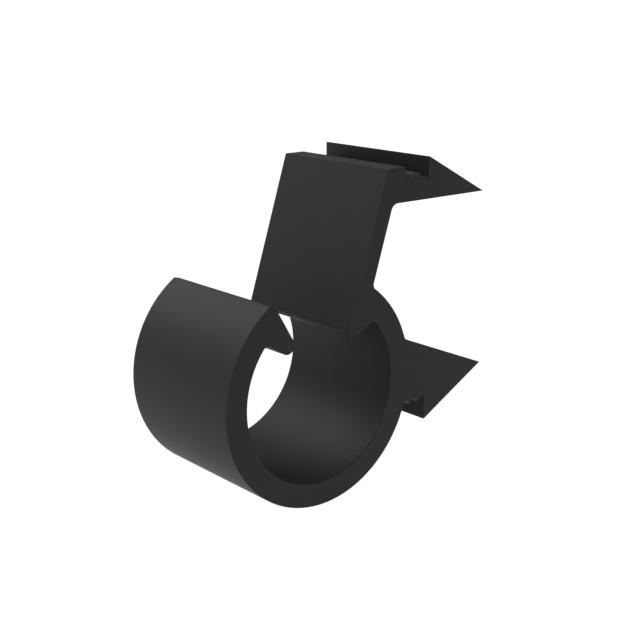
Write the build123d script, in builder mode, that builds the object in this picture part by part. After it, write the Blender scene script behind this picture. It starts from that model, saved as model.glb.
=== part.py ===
"""Snap-in cable clip: one plastic moulding of constant section, with an open ring and two barbed legs.

The ring holds a cable or a bundle. The legs snap through a slot in a sheet panel and catch behind it.
Millimetres. The origin is in the middle of the slot, on the panel's front face and halfway along the clip.
Y runs along the cable, Z is up, and +X is the way that the legs are pushed into the panel.

The section is drawn about the ring's axis. A straight edge of it is given by its angle up from +X and its
offset: how far it passes from that axis, positive to the left of its direction.
"""
import os
from math import cos, radians, sin, sqrt, tan

from build123d import *

# Ring around the cable
bore_radius = 7.5
ring_wall = 2.0
clip_depth = 13.0

# Slot in the sheet panel, and the room that the clip leaves in it
slot_height = 20.0
slot_floor = -3.2
slot_clearance = 0.13
panel_front = 8.8
panel_thickness = 2.5
panel_clearance = 0.15

# Arm that leans back over the mouth and carries the upper leg
arm_lean = 17.8
arm_offset = 1.18
arm_thickness = 1.5
arm_rise = 1.11
upper_leg_thickness = 1.75

# Barbs behind the panel, and the lower leg's sloping top
upper_barb_angle = 28.0
upper_barb_height = 1.78
lower_barb_angle = 28.8
lower_barb_height = 2.13
lower_leg_start = 17.2
lower_leg_fall = 22.3

# Crush ribs across the neck of each leg, on the faces that meet the slot's edges
rib_count = 2
upper_rib_setback = 0.9
upper_rib_pitch = 0.59
upper_rib_height = 0.52
upper_rib_flank = 65.0
upper_rib_crest = 0.15
lower_rib_setback = 0.92
lower_rib_pitch = 1.0
lower_rib_height = 0.35
lower_rib_flank = 45.0
lower_rib_crest = 0.05

# Mouth: the ring's free end turns in as a hooked lip, and the foot of the arm as a nib
lip_angle = 120.8
lip_underside_fall = 33.7
lip_underside_offset = 1.16
nib_underside_rise = 27.7
nib_underside_offset = 1.96

# Radii at the corners of the section, and the bevel at the lip's outer corner
lip_radius = 0.68
lip_bevel = 0.36
nib_radius = 0.6
mouth_root_radius = 0.5
ring_root_radius = 0.5
leg_root_radius = 0.7


def polar(radius, angle):
    """Point at a radius from the ring's axis, in the direction of an angle."""
    return (radius * cos(radians(angle)), radius * sin(radians(angle)))


def along(offset, angle, distance):
    """Point of an edge's line, a distance past the line's nearest point to the ring's axis."""
    nearest = polar(offset, angle + 90)
    step = polar(distance, angle)
    return (nearest[0] + step[0], nearest[1] + step[1])


def at_radius(offset, angle, radius):
    """Point where an edge's line leaves a circle about the ring's axis."""
    return along(offset, angle, sqrt(radius**2 - offset**2))


def at_height(offset, angle, height):
    """Point of an edge's line at a height above the ring's axis."""
    return along(offset, angle, (height - offset * cos(radians(angle))) / sin(radians(angle)))


def crossing(offset, angle, other_offset, other_angle):
    """Point where two edges' lines cross."""
    turn = radians(other_angle - angle)
    return along(offset, angle, (offset * cos(turn) - other_offset) / sin(turn))


def offset_through(point, angle):
    """Offset of the line that runs through a point at an angle."""
    return point[1] * cos(radians(angle)) - point[0] * sin(radians(angle))


def corner(sketch, point):
    """Corner of a sketch that lies nearest to a point."""
    return sketch.vertices().sort_by_distance(point)[0]


def crush_rib(height, flank, crest_radius):
    """Section of a crush rib with its mirror image in the neck: a wedge with a round crest on each side."""
    peak = height + crest_radius * (1 / cos(radians(flank)) - 1)
    half_width = peak / tan(radians(flank))
    with BuildSketch() as rib:
        Polygon((-half_width, 0), (0, -peak), (half_width, 0), (0, peak), align=None)
        fillet(rib.vertices().filter_by_position(Axis.X, -half_width / 2, half_width / 2), crest_radius)
    return rib.sketch


def rib_places(neck, setback, pitch):
    """Places of the crush ribs along a leg's neck."""
    return [(panel_front + setback + number * pitch, neck) for number in range(rib_count)]


ring_radius = bore_radius + ring_wall
wall_middle = bore_radius + ring_wall / 2
slot_middle = slot_floor + slot_height / 2

# The ribs' tips just clear the slot's edges, and the ribs stand on the necks of the legs
upper_neck = slot_floor + slot_height - slot_clearance - upper_rib_height
lower_neck = slot_floor + slot_clearance + lower_rib_height
catch_face = panel_front + panel_thickness + panel_clearance

# Arm and upper leg
arm_angle = 90 - arm_lean
arm_left = -arm_offset
arm_right = -arm_offset - arm_thickness
arm_top = upper_neck + arm_rise
arm_root = at_radius(arm_right, arm_angle, ring_radius)
upper_underside = upper_neck - upper_leg_thickness
upper_leg_root = at_height(arm_right, arm_angle, upper_underside)
upper_catch_top = upper_neck + upper_barb_height
upper_barb_reach = (upper_catch_top - upper_underside) / tan(radians(upper_barb_angle))

# Lower leg, a wedge from the ring's wall to its tip
lower_leg_root = polar(ring_radius, lower_leg_start)
lower_top_offset = offset_through(lower_leg_root, -lower_leg_fall)
lower_catch_foot = (catch_face, lower_neck - lower_barb_height)
lower_slope_offset = offset_through(lower_catch_foot, lower_barb_angle)

# Crush ribs
upper_rib = crush_rib(upper_rib_height, upper_rib_flank, upper_rib_crest)
lower_rib = crush_rib(lower_rib_height, lower_rib_flank, lower_rib_crest)

# Mouth, with the corners of the hooked lip and of the nib before they are rounded
mouth_back = crossing(0, lip_angle, arm_left, arm_angle)
mouth_reach = 2 * ring_radius
lip_tip = crossing(0, lip_angle, lip_underside_offset, -lip_underside_fall)
lip_corner = polar(ring_radius, lip_angle)
lip_root_angle = 180 - lip_underside_fall
lip_root = at_radius(-lip_underside_offset, lip_root_angle, bore_radius)
nib_tip = crossing(arm_left, arm_angle, nib_underside_offset, nib_underside_rise)
nib_root = at_radius(nib_underside_offset, nib_underside_rise, bore_radius)

with BuildPart() as cable_clip:
    with BuildSketch(Plane.XZ.shift_origin((-panel_front, 0, -slot_middle))) as section:
        # Open ring
        Circle(ring_radius)
        Circle(bore_radius, mode=Mode.SUBTRACT)
        with BuildLine():
            Polyline(
                mouth_back,
                polar(mouth_reach, lip_angle),
                along(arm_left, arm_angle, mouth_reach),
                close=True,
            )
        make_face(mode=Mode.SUBTRACT)

        # Hook of the lip
        with BuildLine():
            Polyline(
                lip_tip,
                polar(wall_middle, lip_angle),
                at_radius(-lip_underside_offset, lip_root_angle, wall_middle),
                close=True,
            )
        make_face()

        # Arm with its nib, and the upper leg with its barb
        with BuildLine():
            Polyline(
                nib_tip,
                at_height(arm_left, arm_angle, arm_top),
                (panel_front, arm_top),
                (panel_front, upper_neck),
                (catch_face, upper_neck),
                (catch_face, upper_catch_top),
                (catch_face + upper_barb_reach, upper_underside),
                upper_leg_root,
                at_radius(arm_right, arm_angle, wall_middle),
                at_radius(nib_underside_offset, nib_underside_rise, wall_middle),
                close=True,
            )
        make_face()

        # Lower leg with its barb
        with BuildLine():
            Polyline(
                at_radius(lower_top_offset, -lower_leg_fall, wall_middle),
                crossing(lower_top_offset, -lower_leg_fall, lower_slope_offset, lower_barb_angle),
                lower_catch_foot,
                (catch_face, lower_neck),
                (sqrt(wall_middle**2 - lower_neck**2), lower_neck),
                close=True,
            )
        make_face()

        # Crush ribs
        with Locations(*rib_places(upper_neck, upper_rib_setback, upper_rib_pitch)):
            add(upper_rib)
        with Locations(*rib_places(lower_neck, lower_rib_setback, lower_rib_pitch)):
            add(lower_rib)

        # Corners
        fillet(corner(section, lip_tip), lip_radius)
        chamfer(corner(section, lip_corner), lip_bevel)
        fillet(corner(section, lip_root), mouth_root_radius)
        fillet(corner(section, nib_tip), nib_radius)
        fillet(corner(section, nib_root), mouth_root_radius)
        fillet(corner(section, arm_root), ring_root_radius)
        fillet(corner(section, lower_leg_root), ring_root_radius)
        fillet(corner(section, upper_leg_root), leg_root_radius)
    extrude(amount=clip_depth / 2, both=True)

cable_clip.part.label = "cable_clip"
os.makedirs("parts", exist_ok=True)
export_step(cable_clip.part, "parts/cable_clip.step")
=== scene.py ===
"""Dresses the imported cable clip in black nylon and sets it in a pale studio.

The clip is one moulding of constant section, so its mesh is that section drawn in true lines and arcs
and swept along the cable, with every edge slightly rounded as a mould leaves it. The section's sizes are
in millimetres about the ring's axis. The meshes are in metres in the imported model's frame, whose origin
is in the middle of the panel's slot.
"""
import logging
import math
from dataclasses import dataclass, replace
from enum import Enum

import bpy
from mathutils import Matrix, Vector


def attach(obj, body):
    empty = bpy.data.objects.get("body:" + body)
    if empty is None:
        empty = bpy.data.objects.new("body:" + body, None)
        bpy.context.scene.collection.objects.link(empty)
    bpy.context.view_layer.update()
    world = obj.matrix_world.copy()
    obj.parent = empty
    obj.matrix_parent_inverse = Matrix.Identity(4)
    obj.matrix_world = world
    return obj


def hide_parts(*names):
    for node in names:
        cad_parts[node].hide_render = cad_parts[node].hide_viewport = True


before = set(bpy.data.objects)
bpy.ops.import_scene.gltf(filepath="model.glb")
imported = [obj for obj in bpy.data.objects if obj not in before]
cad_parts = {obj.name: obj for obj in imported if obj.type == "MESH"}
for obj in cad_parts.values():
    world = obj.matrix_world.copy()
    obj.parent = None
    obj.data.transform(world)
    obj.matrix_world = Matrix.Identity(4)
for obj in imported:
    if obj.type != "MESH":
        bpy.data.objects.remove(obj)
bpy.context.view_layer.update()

log = logging.getLogger("cable_clip")

MM = 0.001
WHITE = "ffffff"

# The sRGB curve: a straight foot, then a power
SRGB_FOOT_END = 0.04045
SRGB_FOOT_SLOPE = 12.92
SRGB_LIFT = 0.055
SRGB_POWER = 2.4


class Turn(Enum):
    """Way that a round edge bends, going round the section with the material on the left."""

    LEFT = 1
    RIGHT = -1


class Crossing(Enum):
    """Way that a straight edge crosses the circle that it meets."""

    OUTWARD = 1
    INWARD = -1


def unit(angle: float) -> Vector:
    """Returns the unit vector at an angle in degrees."""
    return Vector((math.cos(math.radians(angle)), math.sin(math.radians(angle))))


def angle_of(vector: Vector) -> float:
    """Returns the angle of a vector in degrees."""
    return math.degrees(math.atan2(vector.y, vector.x))


def wrapped(angle: float) -> float:
    """Returns the same angle between -180 and 180 degrees."""
    return (angle + 180) % 360 - 180


def linear(hex_colour: str) -> tuple[float, float, float, float]:
    """Turns an sRGB colour into the linear one that Blender mixes light with.

    Args:
        hex_colour: Colour as six hexadecimal digits.

    Returns:
        Linear red, green and blue, and a full alpha.
    """
    channels = [int(hex_colour[place:place + 2], 16) / 255 for place in (0, 2, 4)]
    straight = [channel / SRGB_FOOT_SLOPE for channel in channels]
    curved = [((channel + SRGB_LIFT) / (1 + SRGB_LIFT)) ** SRGB_POWER for channel in channels]
    red, green, blue = (
        low if channel <= SRGB_FOOT_END else high for channel, low, high in zip(channels, straight, curved)
    )
    return red, green, blue, 1.0


@dataclass(frozen=True)
class Straight:
    """Straight edge of the section.

    Attributes:
        angle: Its direction, in degrees up from +X.
        offset: How far it passes from the ring's axis, in mm, positive to the left.
    """

    angle: float
    offset: float

    @classmethod
    def through(cls, start: Vector, end: Vector) -> "Straight":
        """Returns the edge from one point to another."""
        angle = angle_of(end - start)
        return cls(angle, start.dot(unit(angle + 90)))

    def inset(self, depth: float) -> "Straight":
        """Returns the edge moved into the material."""
        return replace(self, offset=self.offset + depth)

    def at(self, distance: float) -> Vector:
        """Returns the edge's point a distance past the one nearest to the ring's axis."""
        return self.offset * unit(self.angle + 90) + distance * unit(self.angle)

    def facing(self, point: Vector) -> float:
        """Returns the angle that the edge faces, out of the material, the same at every point."""
        return self.angle - 90


@dataclass(frozen=True)
class Round:
    """Edge of the section that is an arc about the ring's axis.

    Attributes:
        radius: Radius in mm.
        turn: Way that it bends.
        facets: Number of flats that it is drawn with.
    """

    radius: float
    turn: Turn
    facets: int

    def inset(self, depth: float) -> "Round":
        """Returns the edge moved into the material."""
        return replace(self, radius=self.radius - self.turn.value * depth)

    def facing(self, point: Vector) -> float:
        """Returns the angle that the edge faces at a point, out of the material."""
        return angle_of(self.turn.value * point)

    def between(self, start: Vector, end: Vector) -> list[Vector]:
        """Draws the edge from one corner to the next.

        Args:
            start: Point where it starts.
            end: Point where it ends.

        Returns:
            Its points in order, without the two ends.
        """
        sweep = self.turn.value * (angle_of(end) - angle_of(start)) % 360
        step = self.turn.value * sweep / self.facets
        return [self.radius * unit(angle_of(start) + step * number) for number in range(1, self.facets)]


Edge = Straight | Round


def meeting(first: Edge, second: Edge, crossing: Crossing) -> Vector:
    """Finds where two edges of the section meet.

    Args:
        first: One edge.
        second: The next one. At most one of the two is round.
        crossing: Way that the straight edge crosses the circle of the round one.

    Returns:
        The point, about the ring's axis.
    """
    if isinstance(first, Straight) and isinstance(second, Straight):
        turn = math.radians(second.angle - first.angle)
        return first.at((first.offset * math.cos(turn) - second.offset) / math.sin(turn))
    line, circle = (first, second) if isinstance(first, Straight) else (second, first)
    return line.at(crossing.value * math.sqrt(circle.radius**2 - line.offset**2))


@dataclass(frozen=True)
class Corner:
    """Rounded corner at the end of an edge.

    Attributes:
        radius: Radius in mm.
        crossing: Way that a straight edge crosses a round one there.
        facets: Number of flats that it is drawn with.
    """

    radius: float
    crossing: Crossing = Crossing.OUTWARD
    facets: int = 8

    def drawn(
        self, first: Edge, second: Edge, depth: float, sharpest: float
    ) -> list[tuple[Vector, Vector]]:
        """Draws the corner on the loop that runs at a depth inside the section's outline.

        Args:
            first: Edge before the corner.
            second: Edge after it.
            depth: Depth inside the outline in mm.
            sharpest: Smallest radius that it may be drawn with, in mm.

        Returns:
            Its points, each with the direction that it faces.
        """
        point = meeting(first, second, self.crossing)
        bend = wrapped(second.facing(point) - first.facing(point))
        side = math.copysign(1, bend)
        radius = max(self.radius - side * depth, sharpest)
        inward = side * radius + depth
        centre = meeting(first.inset(inward), second.inset(inward), self.crossing)
        start, end = first.facing(centre), second.facing(centre)
        sweep = wrapped(end - start)
        faced = [unit(start + sweep * number / self.facets) for number in range(self.facets + 1)]
        return [(centre + side * radius * direction, direction) for direction in faced]


def node(
    tree: bpy.types.NodeTree, kind: str, inputs: dict | None = None, **settings: object
) -> bpy.types.Node:
    """Adds a shader node with its settings and links.

    Args:
        tree: Tree that gets it.
        kind: Blender's name of the node's type.
        inputs: Value of each input, or the output that feeds it, by the input's name or number.
        **settings: The node's own properties.

    Returns:
        The new node.
    """
    added = tree.nodes.new(kind)
    for name, value in settings.items():
        setattr(added, name, value)
    for name, value in (inputs or {}).items():
        if isinstance(value, bpy.types.NodeSocket):
            tree.links.new(value, added.inputs[name])
        else:
            added.inputs[name].default_value = value
    return added


@dataclass(frozen=True)
class MouldedNylon:
    """Black nylon 66, injection moulded in a fine spark-eroded mould.

    It is dyed through with carbon black, so it is near black at its core, and the fine grain of the mould
    spreads the gloss into a soft grey sheen that has no sharp reflection in it.

    Attributes:
        name: Name of the material.
        core: Colour of the plastic, sRGB.
        bloom: Colour where the skin is a shade paler, sRGB.
        roughness: Roughness of the moulded skin.
        polish: How much smoother it is in the glossiest patches of the mould's flow.
        ior: Index of refraction of nylon.
        gloss: Specular level, which the grain holds down.
        grain: Width of a grain of the mould's texture in mm. The real one is about 0.03 mm, too fine to
            show, so it is drawn coarser.
        grain_height: Height of the grain in mm.
        flow: Width of the patches that the flowing plastic leaves, in mm.
    """

    name: str = "moulded_black_nylon"
    core: str = "0f0f10"
    bloom: str = "131314"
    roughness: float = 0.605
    polish: float = 0.05
    ior: float = 1.53
    gloss: float = 0.235
    grain: float = 0.12
    grain_height: float = 0.0015
    flow: float = 4.0

    def material(self) -> bpy.types.Material:
        """Builds the material.

        Returns:
            The material, with its shader nodes.
        """
        material = bpy.data.materials.new(self.name)
        material.use_nodes = True
        tree = material.node_tree
        tree.nodes.clear()
        place = node(tree, "ShaderNodeTexCoord").outputs["Object"]
        grain = node(tree, "ShaderNodeTexNoise", {"Vector": place, "Scale": 1 / (self.grain * MM)})
        flow = node(tree, "ShaderNodeTexNoise", {"Vector": place, "Scale": 1 / (self.flow * MM)})
        colour = node(tree, "ShaderNodeMix",
                      {"Factor": flow.outputs["Fac"], "A": linear(self.core), "B": linear(self.bloom)},
                      data_type="RGBA")
        roughness = node(tree, "ShaderNodeMapRange",
                         {"Value": flow.outputs["Fac"], "To Min": self.roughness,
                          "To Max": self.roughness - self.polish})
        bump = node(tree, "ShaderNodeBump",
                    {"Height": grain.outputs["Fac"], "Distance": self.grain_height * MM})
        skin = node(tree, "ShaderNodeBsdfPrincipled",
                    {"Base Color": colour.outputs["Result"], "Roughness": roughness.outputs["Result"],
                     "Normal": bump.outputs["Normal"], "IOR": self.ior, "Specular IOR Level": self.gloss})
        node(tree, "ShaderNodeOutputMaterial", {"Surface": skin.outputs["BSDF"]})
        return material


@dataclass(frozen=True)
class OpalAcrylic:
    """Matt opal acrylic on a light table, which glows so evenly from below that no shadow shows on it.

    Attributes:
        name: Name of the material.
        colour: Colour that it scatters, sRGB. Most of the light that falls on it goes through.
        roughness: Roughness of its sanded face.
        gloss: Specular level of that face, which has none.
        glow: Brightness of the light that comes up through it, where 1 shows as pure white.
    """

    name: str = "opal_acrylic"
    colour: str = "5c5c5c"
    roughness: float = 0.9
    gloss: float = 0.0
    glow: float = 0.975

    def material(self) -> bpy.types.Material:
        """Builds the material.

        Returns:
            The material, with its shader nodes.
        """
        material = bpy.data.materials.new(self.name)
        material.use_nodes = True
        tree = material.node_tree
        tree.nodes.clear()
        face = node(tree, "ShaderNodeBsdfPrincipled",
                    {"Base Color": linear(self.colour), "Roughness": self.roughness,
                     "Specular IOR Level": self.gloss,
                     "Emission Color": linear(WHITE), "Emission Strength": self.glow})
        node(tree, "ShaderNodeOutputMaterial", {"Surface": face.outputs["BSDF"]})
        return material


@dataclass(frozen=True)
class SoftLamp:
    """Large soft lamp, so far off that it lights the whole floor evenly.

    Attributes:
        name: Name of the lamp.
        left: How far to the left of the camera's heading it stands, in degrees, with 180 behind the camera.
        height: Its height above the horizon in degrees.
        spread: Width of its face as the clip sees it, in degrees.
        brightness: Brightness of its face, where 1 shows as pure white.
    """

    name: str
    left: float
    height: float
    spread: float
    brightness: float

    def hang(self, heading: float) -> bpy.types.Object:
        """Hangs the lamp.

        Args:
            heading: The camera's heading, in degrees from +X towards +Y.

        Returns:
            The lamp.
        """
        data = bpy.data.lights.new(self.name, "SUN")
        data.angle = math.radians(self.spread)
        # The energy is the light that a round face so wide and so bright throws on what is turned to it
        data.energy = self.brightness * math.pi * math.sin(data.angle / 2)**2
        lamp = bpy.data.objects.new(self.name, data)
        level, rise = unit(heading + self.left), unit(self.height)
        towards = Vector((*(level * rise.x), rise.y))
        lamp.rotation_euler = towards.to_track_quat("Z", "Y").to_euler()
        bpy.context.scene.collection.objects.link(lamp)
        return lamp


@dataclass(frozen=True)
class CrushRibs:
    """Small ribs across the neck of a leg, each a wedge with a round crest. Lengths are in mm.

    Attributes:
        setback: Distance from the panel's front to the middle of the first rib.
        pitch: Distance between the ribs' middles.
        height: Height of their crests above the neck.
        flank: Slope of their flanks in degrees.
        crest: Radius of their crests.
        count: Number of ribs.
    """

    setback: float
    pitch: float
    height: float
    flank: float
    crest: float
    count: int = 2

    def peaks(self, panel_front: float, neck: float, side: int) -> list[Vector]:
        """Finds where each rib's flanks would meet, above its round crest.

        Args:
            panel_front: Distance from the ring's axis to the front of the panel.
            neck: Height of the neck above the ring's axis.
            side: 1 where the ribs stand up from the neck, -1 where they hang down from it.

        Returns:
            The points, from the front of the panel back.
        """
        above = self.height + self.crest * (1 / math.cos(math.radians(self.flank)) - 1)
        first = panel_front + self.setback
        return [Vector((first + number * self.pitch, neck + side * above)) for number in range(self.count)]


@dataclass
class CableClip:
    """The whole clip: an open ring with a hooked mouth, an arm, and two barbed legs with crush ribs.

    Lengths, heights and radii are in mm.

    Attributes:
        bore_radius: Inside radius of the ring.
        ring_wall: Thickness of the ring's wall.
        depth: Length along the cable.
        panel_front: Distance from the ring's axis to the front of the panel.
        slot_middle: Height of the slot's middle above the ring's axis.
        catch_face: Distance from the ring's axis to the face of each barb that catches behind the panel.
        arm_angle: Direction of the arm, in degrees up from +X.
        arm_offset: How far the arm's left face passes from the ring's axis.
        arm_thickness: Thickness of the arm.
        arm_top: Height of the arm's top above the ring's axis.
        upper_neck: Height of the upper leg's notch.
        upper_leg_thickness: Thickness of the upper leg at its notch.
        lower_neck: Height of the lower leg's notch.
        upper_barb_angle: Slope of the upper barb in degrees.
        upper_barb_height: Height of the upper barb above its notch.
        lower_barb_angle: Slope of the lower barb in degrees.
        lower_barb_height: Depth of the lower barb below its notch.
        lower_leg_start: Angle on the ring where the lower leg's sloping top starts, in degrees.
        lower_leg_fall: Slope of that top, in degrees down.
        upper_ribs: Crush ribs on the upper leg.
        lower_ribs: Crush ribs on the lower leg.
        lip_angle: Angle on the ring at which it ends in the hooked lip, in degrees.
        lip_underside_fall: Slope of the lip's underside, in degrees down.
        lip_underside_offset: How far that underside passes from the ring's axis.
        nib_underside_rise: Slope of the nib's underside, in degrees up.
        nib_underside_offset: How far that underside passes from the ring's axis.
        lip_radius: Radius of the lip's tip.
        lip_bevel: Bevel at the lip's outer corner.
        nib_radius: Radius of the nib's tip.
        mouth_root_radius: Radius where the lip and the nib leave the bore.
        ring_root_radius: Radius where the arm and the lower leg leave the ring.
        leg_root_radius: Radius where the upper leg leaves the arm.
        edge_break: Radius that moulding leaves on a sharp corner.
        tip_break: Radius that it leaves on the sharpest ones, at the barbs' tips and the arm's top.
        end_break: Radius round the two end faces.
        sharpest: Smallest radius that is drawn.
        end_facets: Number of flats across the radius round the end faces.
        outside_facets: Number of flats round the ring's outside, from the lip down to the lower leg.
        waist_facets: Number of flats round its outside between the lower leg and the arm.
        bore_facets: Number of flats round the bore.
    """

    bore_radius: float = 7.5
    ring_wall: float = 2.0
    depth: float = 13.0
    panel_front: float = 8.8
    slot_middle: float = 6.8
    catch_face: float = 11.45
    arm_angle: float = 72.2
    arm_offset: float = 1.18
    arm_thickness: float = 1.5
    arm_top: float = 17.26
    upper_neck: float = 16.15
    upper_leg_thickness: float = 1.75
    lower_neck: float = -2.72
    upper_barb_angle: float = 28.0
    upper_barb_height: float = 1.78
    lower_barb_angle: float = 28.8
    lower_barb_height: float = 2.13
    lower_leg_start: float = 17.2
    lower_leg_fall: float = 22.3
    upper_ribs: CrushRibs = CrushRibs(setback=0.9, pitch=0.59, height=0.52, flank=65.0, crest=0.15)
    lower_ribs: CrushRibs = CrushRibs(setback=0.92, pitch=1.0, height=0.35, flank=45.0, crest=0.05)
    lip_angle: float = 120.8
    lip_underside_fall: float = 33.7
    lip_underside_offset: float = 1.16
    nib_underside_rise: float = 27.7
    nib_underside_offset: float = 1.96
    lip_radius: float = 0.68
    lip_bevel: float = 0.36
    nib_radius: float = 0.6
    mouth_root_radius: float = 0.5
    ring_root_radius: float = 0.5
    leg_root_radius: float = 0.7
    edge_break: float = 0.05
    tip_break: float = 0.02
    end_break: float = 0.06
    sharpest: float = 0.004
    end_facets: int = 3
    outside_facets: int = 110
    waist_facets: int = 20
    bore_facets: int = 130

    def outline(self) -> list[tuple[Edge, Corner]]:
        """Lists the section's edges, each with the corner at its end, with the material on the left.

        Returns:
            The edges, from the ring's outside below the lip and round by the legs, the arm and the bore.
        """
        ring = self.bore_radius + self.ring_wall
        broken = Corner(self.edge_break)
        tip = Corner(self.tip_break)
        root = Corner(self.ring_root_radius)

        lip_face = Straight(self.lip_angle, 0)
        lip_bevel = Straight.through(
            lip_face.at(ring - self.lip_bevel),
            ring * unit(self.lip_angle + math.degrees(self.lip_bevel / ring)))
        lower_top = Straight.through(
            ring * unit(self.lower_leg_start) + unit(-self.lower_leg_fall),
            ring * unit(self.lower_leg_start))
        catch = Straight(-90, self.catch_face)
        lower_catch_foot = Vector((self.catch_face, self.lower_neck - self.lower_barb_height))
        upper_catch_top = Vector((self.catch_face, self.upper_neck + self.upper_barb_height))

        hanging: list[tuple[Edge, Corner]] = []
        ribs = self.lower_ribs
        for peak in ribs.peaks(self.panel_front, self.lower_neck, -1):
            hanging += [
                (Straight(0, self.lower_neck), broken),
                (Straight.through(peak - unit(-ribs.flank), peak), Corner(ribs.crest)),
                (Straight.through(peak, peak + unit(ribs.flank)), broken),
            ]
        standing: list[tuple[Edge, Corner]] = []
        ribs = self.upper_ribs
        for peak in reversed(ribs.peaks(self.panel_front, self.upper_neck, 1)):
            standing += [
                (Straight.through(peak + unit(-ribs.flank), peak), Corner(ribs.crest)),
                (Straight.through(peak, peak - unit(ribs.flank)), broken),
            ]

        return [
            # Ring's outside, and the lower leg's neck, catch, slope and top
            (Round(ring, Turn.LEFT, self.outside_facets), broken),
            *hanging,
            (Straight(0, self.lower_neck), broken),
            (catch, broken),
            (Straight.through(lower_catch_foot, lower_catch_foot + unit(self.lower_barb_angle)), tip),
            (lower_top, replace(root, crossing=Crossing.INWARD)),
            # Ring's outside between the legs, and the arm's right face
            (Round(ring, Turn.LEFT, self.waist_facets), root),
            (Straight(self.arm_angle, -self.arm_offset - self.arm_thickness), Corner(self.leg_root_radius)),
            # Upper leg's underside, slope, catch and neck
            (Straight(0, self.upper_neck - self.upper_leg_thickness), tip),
            (Straight.through(upper_catch_top + unit(-self.upper_barb_angle), upper_catch_top), broken),
            (catch, broken),
            (Straight(180, -self.upper_neck), broken),
            *standing,
            (Straight(180, -self.upper_neck), broken),
            # Front of that neck, and the arm's top and left face
            (Straight(90, -self.panel_front), broken),
            (Straight(180, -self.arm_top), tip),
            (Straight(self.arm_angle + 180, self.arm_offset), Corner(self.nib_radius)),
            # Nib's underside, the bore, and the lip
            (Straight(self.nib_underside_rise, self.nib_underside_offset), Corner(self.mouth_root_radius)),
            (Round(self.bore_radius, Turn.RIGHT, self.bore_facets),
             Corner(self.mouth_root_radius, Crossing.INWARD)),
            (Straight(-self.lip_underside_fall, self.lip_underside_offset), Corner(self.lip_radius)),
            (lip_face, broken),
            (lip_bevel, broken),
        ]

    def loop(self, depth: float) -> list[tuple[Vector, Vector]]:
        """Draws the closed loop that runs at a depth inside the section's outline.

        Args:
            depth: Depth inside the outline in mm.

        Returns:
            Its points, each with the direction that it faces, the same number for every depth.
        """
        edges = self.outline()
        corners = [
            corner.drawn(edge, after, depth, self.sharpest)
            for (edge, corner), (after, _) in zip(edges, edges[1:] + edges[:1])
        ]
        points: list[tuple[Vector, Vector]] = []
        for (edge, _), before, corner in zip(edges, corners[-1:] + corners[:-1], corners):
            if isinstance(edge, Round):
                bent = edge.inset(depth).between(before[-1][0], corner[0][0])
                points += [(point, unit(edge.facing(point))) for point in bent]
            points += corner
        return points

    def mesh(self) -> bpy.types.Mesh:
        """Sweeps the section along the cable, with its end faces' edges rounded.

        Returns:
            The closed mesh in metres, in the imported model's frame, with the exact direction of each point.
        """
        middle = Vector((self.panel_front, self.slot_middle))

        # Rows from the near end face to the far one, each with its end, its lean from the section's plane,
        # its depth inside the outline, and its place along the cable
        rows: list[tuple[int, float, float, float]] = []
        for end in (-1, 1):
            for number in range(self.end_facets + 1):
                flat = number if end > 0 else self.end_facets - number
                lean = math.radians(90 * flat / self.end_facets)
                depth = self.end_break * (1 - math.cos(lean))
                reach = self.depth / 2 - self.end_break * (1 - math.sin(lean))
                rows.append((end, lean, depth, end * reach))

        places: list[Vector] = []
        facings: list[Vector] = []
        for end, lean, depth, reach in rows:
            for point, facing in self.loop(depth):
                at = point - middle
                out = facing * math.cos(lean)
                places.append(Vector((at.x, reach, at.y)) * MM)
                facings.append(Vector((out.x, end * math.sin(lean), out.y)))

        # Two end faces, and a band of four-sided faces between each row and the next
        count = len(places) // len(rows)
        faces = [tuple(range(count)), tuple(reversed(range(len(places) - count, len(places))))]
        for row in range(len(rows) - 1):
            for number in range(count):
                near, far = row * count + number, row * count + (number + 1) % count
                faces.append((near, near + count, far + count, far))

        mesh = bpy.data.meshes.new("clip_moulding")
        mesh.from_pydata(places, [], faces)
        mesh.polygons.foreach_set("use_smooth", [True] * len(faces))
        mesh.normals_split_custom_set_from_vertices(facings)
        mesh.update()
        return mesh

    def build(self, finish: MouldedNylon) -> bpy.types.Object:
        """Builds the clip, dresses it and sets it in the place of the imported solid.

        Args:
            finish: Finish of the moulding.

        Returns:
            The clip.
        """
        mesh = self.mesh()
        mesh.materials.append(finish.material())
        clip = bpy.data.objects.new("clip_moulding", mesh)
        bpy.context.scene.collection.objects.link(clip)
        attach(clip, "root")
        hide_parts("cable_clip")
        return clip


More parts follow.
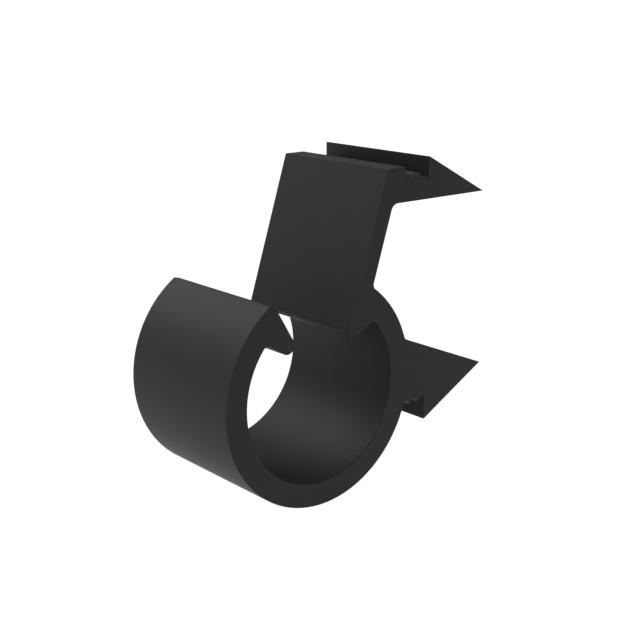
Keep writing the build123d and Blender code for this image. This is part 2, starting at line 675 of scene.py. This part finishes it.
@dataclass
class Studio:
    """Pale floor, soft light and the camera.

    Attributes:
        floor_height: Height of the floor in mm, where the ring's lowest point stands.
        floor_reach: Half the width of the floor in mm.
        lens: Focal length in mm.
        sensor: Width of the sensor in mm.
        camera_place: Place of the camera in mm.
        camera_right: Direction to the right of its picture.
        camera_forward: Direction that it looks in.
        lamps: The soft lamps.
        walls: Brightness of the studio's walls and ceiling as the clip sees them, where 1 is pure white.
        backdrop: Brightness of the studio's far end as the camera sees it.
    """

    floor_height: float = -16.3
    floor_reach: float = 12000.0
    lens: float = 68.05
    sensor: float = 36.0
    camera_place: tuple[float, float, float] = (-68.13, -75.97, 24.12)
    camera_right: tuple[float, float, float] = (0.7622, -0.6473, 0.001)
    camera_forward: tuple[float, float, float] = (0.6248, 0.7353, -0.2625)
    lamps: tuple[SoftLamp, ...] = (
        SoftLamp("front_lamp", left=168.0, height=15.0, spread=40.0, brightness=5.4),
        SoftLamp("side_lamp", left=70.0, height=36.0, spread=30.0, brightness=4.6),
        SoftLamp("back_lamp", left=45.0, height=42.0, spread=24.0, brightness=3.6),
        SoftLamp("rim_lamp", left=20.0, height=35.0, spread=30.0, brightness=0.4),
        SoftLamp("fill_lamp", left=300.0, height=60.0, spread=40.0, brightness=1.0),
    )
    walls: float = 0.35
    backdrop: float = 1.0

    def floor(self, finish: OpalAcrylic) -> bpy.types.Object:
        """Lays the floor.

        Args:
            finish: Finish of the floor.

        Returns:
            The floor.
        """
        reach, height = self.floor_reach * MM, self.floor_height * MM
        corners = [(x * reach, y * reach, height) for x, y in ((-1, -1), (1, -1), (1, 1), (-1, 1))]
        mesh = bpy.data.meshes.new("light_table")
        mesh.from_pydata(corners, [], [(0, 1, 2, 3)])
        mesh.materials.append(finish.material())
        floor = bpy.data.objects.new("light_table", mesh)
        bpy.context.scene.collection.objects.link(floor)
        return floor

    def light(self) -> list[bpy.types.Object]:
        """Lights the studio: soft lamps in a dim room, whose far end shows as white as the floor.

        Returns:
            The lamps.
        """
        world = bpy.data.worlds.new("studio")
        world.use_nodes = True
        tree = world.node_tree
        tree.nodes.clear()
        walls = node(tree, "ShaderNodeBackground", {"Color": linear(WHITE), "Strength": self.walls})
        backdrop = node(tree, "ShaderNodeBackground", {"Color": linear(WHITE), "Strength": self.backdrop})
        seen = node(tree, "ShaderNodeLightPath").outputs["Is Camera Ray"]
        room = node(tree, "ShaderNodeMixShader", {0: seen, 1: walls.outputs[0], 2: backdrop.outputs[0]})
        node(tree, "ShaderNodeOutputWorld", {"Surface": room.outputs["Shader"]})
        bpy.context.scene.world = world
        bpy.context.scene.view_settings.view_transform = "Standard"
        heading = angle_of(Vector(self.camera_forward[:2]))
        return [lamp.hang(heading) for lamp in self.lamps]

    def camera(self) -> bpy.types.Object:
        """Sets up the camera at the photograph's viewing angle.

        Returns:
            The camera.
        """
        forward = Vector(self.camera_forward).normalized()
        right = Vector(self.camera_right)
        right = (right - right.dot(forward) * forward).normalized()
        data = bpy.data.cameras.new("camera")
        data.lens, data.sensor_width, data.sensor_fit = self.lens, self.sensor, "HORIZONTAL"
        data.clip_start = MM
        camera = bpy.data.objects.new("camera", data)
        turned = Matrix((right, right.cross(forward), -forward)).transposed()
        camera.matrix_world = Matrix.Translation(Vector(self.camera_place) * MM) @ turned.to_4x4()
        bpy.context.scene.collection.objects.link(camera)
        bpy.context.scene.camera = camera
        return camera


def main() -> None:
    """Builds the studio and the clip."""
    logging.basicConfig(level=logging.INFO, format="%(name)s: %(message)s")
    studio = Studio()
    log.info("camera %s", studio.camera().name)
    for lamp in studio.light():
        log.info("lamp %s", lamp.name)
    log.info("floor %s", studio.floor(OpalAcrylic()).name)
    clip = CableClip().build(MouldedNylon())
    log.info("clip %s, %d faces", clip.name, len(clip.data.polygons))
    bpy.context.view_layer.update()


if __name__ == "__main__":
    main()
